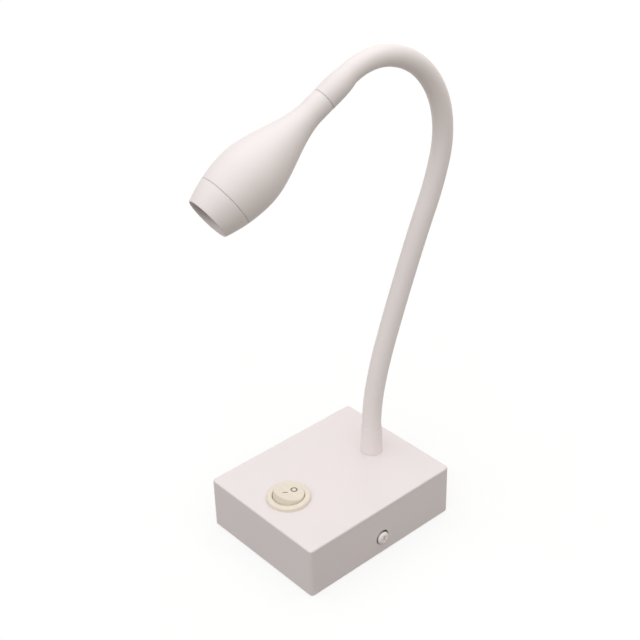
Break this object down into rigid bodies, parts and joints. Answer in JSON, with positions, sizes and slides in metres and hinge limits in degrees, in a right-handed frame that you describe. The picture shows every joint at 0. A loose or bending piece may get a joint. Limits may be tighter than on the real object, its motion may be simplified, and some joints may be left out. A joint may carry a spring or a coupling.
{
  "type": "bedside reading wall light",
  "caption": "Wall-mounted reading light: flat box base with round rocker switch, flexible gooseneck arm and a small flared spot head with recessed lens.",
  "frame": {"origin": "middle of the wall face of the base, midway between the two wall screw holes", "axes": "+Z out of the wall, +X from the switch end to the arm end of the base, +Y across the base"},
  "size_m": [0.1482, 0.0828, 0.2606],
  "materials": {
    "cover_paint": "satin white paint on pressed steel",
    "head_paint": "satin white paint on turned aluminium",
    "ferrule_paint": "satin white paint",
    "screw_paint": "white painted steel",
    "plate_steel": "zinc plated",
    "core_steel": "spiral-wound steel",
    "sleeve": "smooth white PVC",
    "lead_jacket": "light grey PVC",
    "live_jacket": "brown PVC",
    "switched_jacket": "black PVC",
    "neutral_jacket": "blue PVC",
    "switch_ivory": "ivory moulded nylon",
    "plunger_nylon": "natural nylon",
    "contact_brass": "bare brass",
    "grommet_rubber": "black rubber",
    "board": "green circuit board",
    "led_board_white": "white solder mask on aluminium",
    "coil_wrap": "yellow tape",
    "capacitor_can": "black sleeve",
    "slug_aluminium": "turned",
    "led_phosphor": "yellow phosphor",
    "lens_clear": "clear",
    "holder_black": "black moulded"
  },
  "bodies": {
    "base": {"base_cover": "cover_paint", "wall_plate": "plate_steel", "cable_grommet": "grommet_rubber", "cover_screws": "screw_paint", "cover_nuts": "plate_steel", "terminal_block": "plunger_nylon", "terminal_inserts": "contact_brass", "terminal_screws": "plate_steel", "earth_screw": "plate_steel", "driver_case": "plunger_nylon", "driver_lid": "plunger_nylon", "driver_board": "board", "driver_coil": "coil_wrap", "driver_capacitor": "capacitor_can", "driver_screws": "plate_steel", "switch_body": "switch_ivory", "common_terminal": "contact_brass", "switched_terminal": "contact_brass", "live_wire": "live_jacket", "switched_wire": "switched_jacket", "neutral_wire": "neutral_jacket", "led_wire": "lead_jacket", "base_nipple": "plate_steel", "lock_washer": "plate_steel", "lock_nut": "plate_steel", "base_ferrule": "ferrule_paint", "arm_core_0": "core_steel", "arm_sleeve": "sleeve", "arm_lead": "lead_jacket"},
    "rocker": {"rocker": "switch_ivory", "plunger": "plunger_nylon", "rocker_spring": "plate_steel"},
    "lever": {"contact_lever": "contact_brass"},
    "arm_1": {"arm_core_1": "core_steel"},
    "arm_2": {"arm_core_2": "core_steel"},
    "arm_3": {"arm_core_3": "core_steel"},
    "arm_4": {"arm_core_4": "core_steel"},
    "arm_5": {"arm_core_5": "core_steel"},
    "arm_6": {"arm_core_6": "core_steel"},
    "arm_7": {"arm_core_7": "core_steel"},
    "arm_8": {"arm_core_8": "core_steel"},
    "head": {"arm_core_9": "core_steel", "head_ferrule": "ferrule_paint", "head_nipple": "plate_steel", "head_shell": "head_paint", "heat_slug": "slug_aluminium", "led_board": "led_board_white", "led_chip": "led_phosphor", "lens": "lens_clear", "lens_holder": "holder_black", "front_bezel": "head_paint", "bezel_seal": "grommet_rubber", "head_lead": "lead_jacket"}
  },
  "joints": [
    {"name": "arm_bend_1", "type": "hinge", "parent": "base", "child": "arm_1", "pos_m": [0.03306, -0.00027, 0.07108], "axis": [0.1045, 0.9945, 0], "range_deg": [-30, 30], "deforming": ["arm_sleeve", "arm_lead"]},
    {"name": "arm_sway_1", "type": "hinge", "parent": "arm_1", "child": "arm_2", "pos_m": [0.03958, -0.00095, 0.09597], "axis": [0.9458, -0.0994, -0.309], "range_deg": [-30, 30], "deforming": ["arm_sleeve", "arm_lead"]},
    {"name": "arm_bend_2", "type": "hinge", "parent": "arm_2", "child": "arm_3", "pos_m": [0.04781, -0.00182, 0.12035], "axis": [0.1045, 0.9945, 0], "range_deg": [-30, 30], "deforming": ["arm_sleeve", "arm_lead"]},
    {"name": "arm_sway_2", "type": "hinge", "parent": "arm_3", "child": "arm_4", "pos_m": [0.05657, -0.00274, 0.14455], "axis": [0.9315, -0.0979, -0.3502], "range_deg": [-30, 30], "deforming": ["arm_sleeve", "arm_lead"]},
    {"name": "arm_bend_3", "type": "hinge", "parent": "arm_4", "child": "arm_5", "pos_m": [0.06595, -0.00373, 0.1685], "axis": [0.1045, 0.9945, 0], "range_deg": [-30, 30], "deforming": ["arm_sleeve", "arm_lead"]},
    {"name": "arm_sway_3", "type": "hinge", "parent": "arm_5", "child": "arm_6", "pos_m": [0.07386, -0.00456, 0.19297], "axis": [0.967, -0.1016, -0.2334], "range_deg": [-30, 30], "deforming": ["arm_sleeve", "arm_lead"]},
    {"name": "arm_bend_4", "type": "hinge", "parent": "arm_6", "child": "arm_7", "pos_m": [0.0743, -0.0046, 0.21851], "axis": [0.1045, 0.9945, 0], "range_deg": [-10, 30], "deforming": ["arm_sleeve", "arm_lead"]},
    {"name": "arm_sway_4", "type": "hinge", "parent": "arm_7", "child": "arm_8", "pos_m": [0.0631, -0.00343, 0.24135], "axis": [0.7506, -0.0789, 0.6561], "range_deg": [-30, 30], "deforming": ["arm_sleeve", "arm_lead"]},
    {"name": "arm_bend_5", "type": "hinge", "parent": "arm_8", "child": "head", "pos_m": [0.04156, -0.00116, 0.2545], "axis": [0.1045, 0.9945, 0], "range_deg": [-10, 30], "deforming": ["arm_sleeve", "arm_lead"]},
    {"name": "rocker_press", "type": "hinge", "parent": "base", "child": "rocker", "pos_m": [-0.03, 0, 0.0304], "axis": [0, -1, 0], "range_deg": [0, 18]},
    {"name": "lever_rock", "type": "hinge", "parent": "base", "child": "lever", "pos_m": [-0.03, 0, 0.02045], "axis": [0, -1, 0], "range_deg": [-10, 0]}
  ],
  "couplings": [
    {"joint": "lever_rock", "follows": "rocker_press", "ratio": -0.55556}
  ]
}
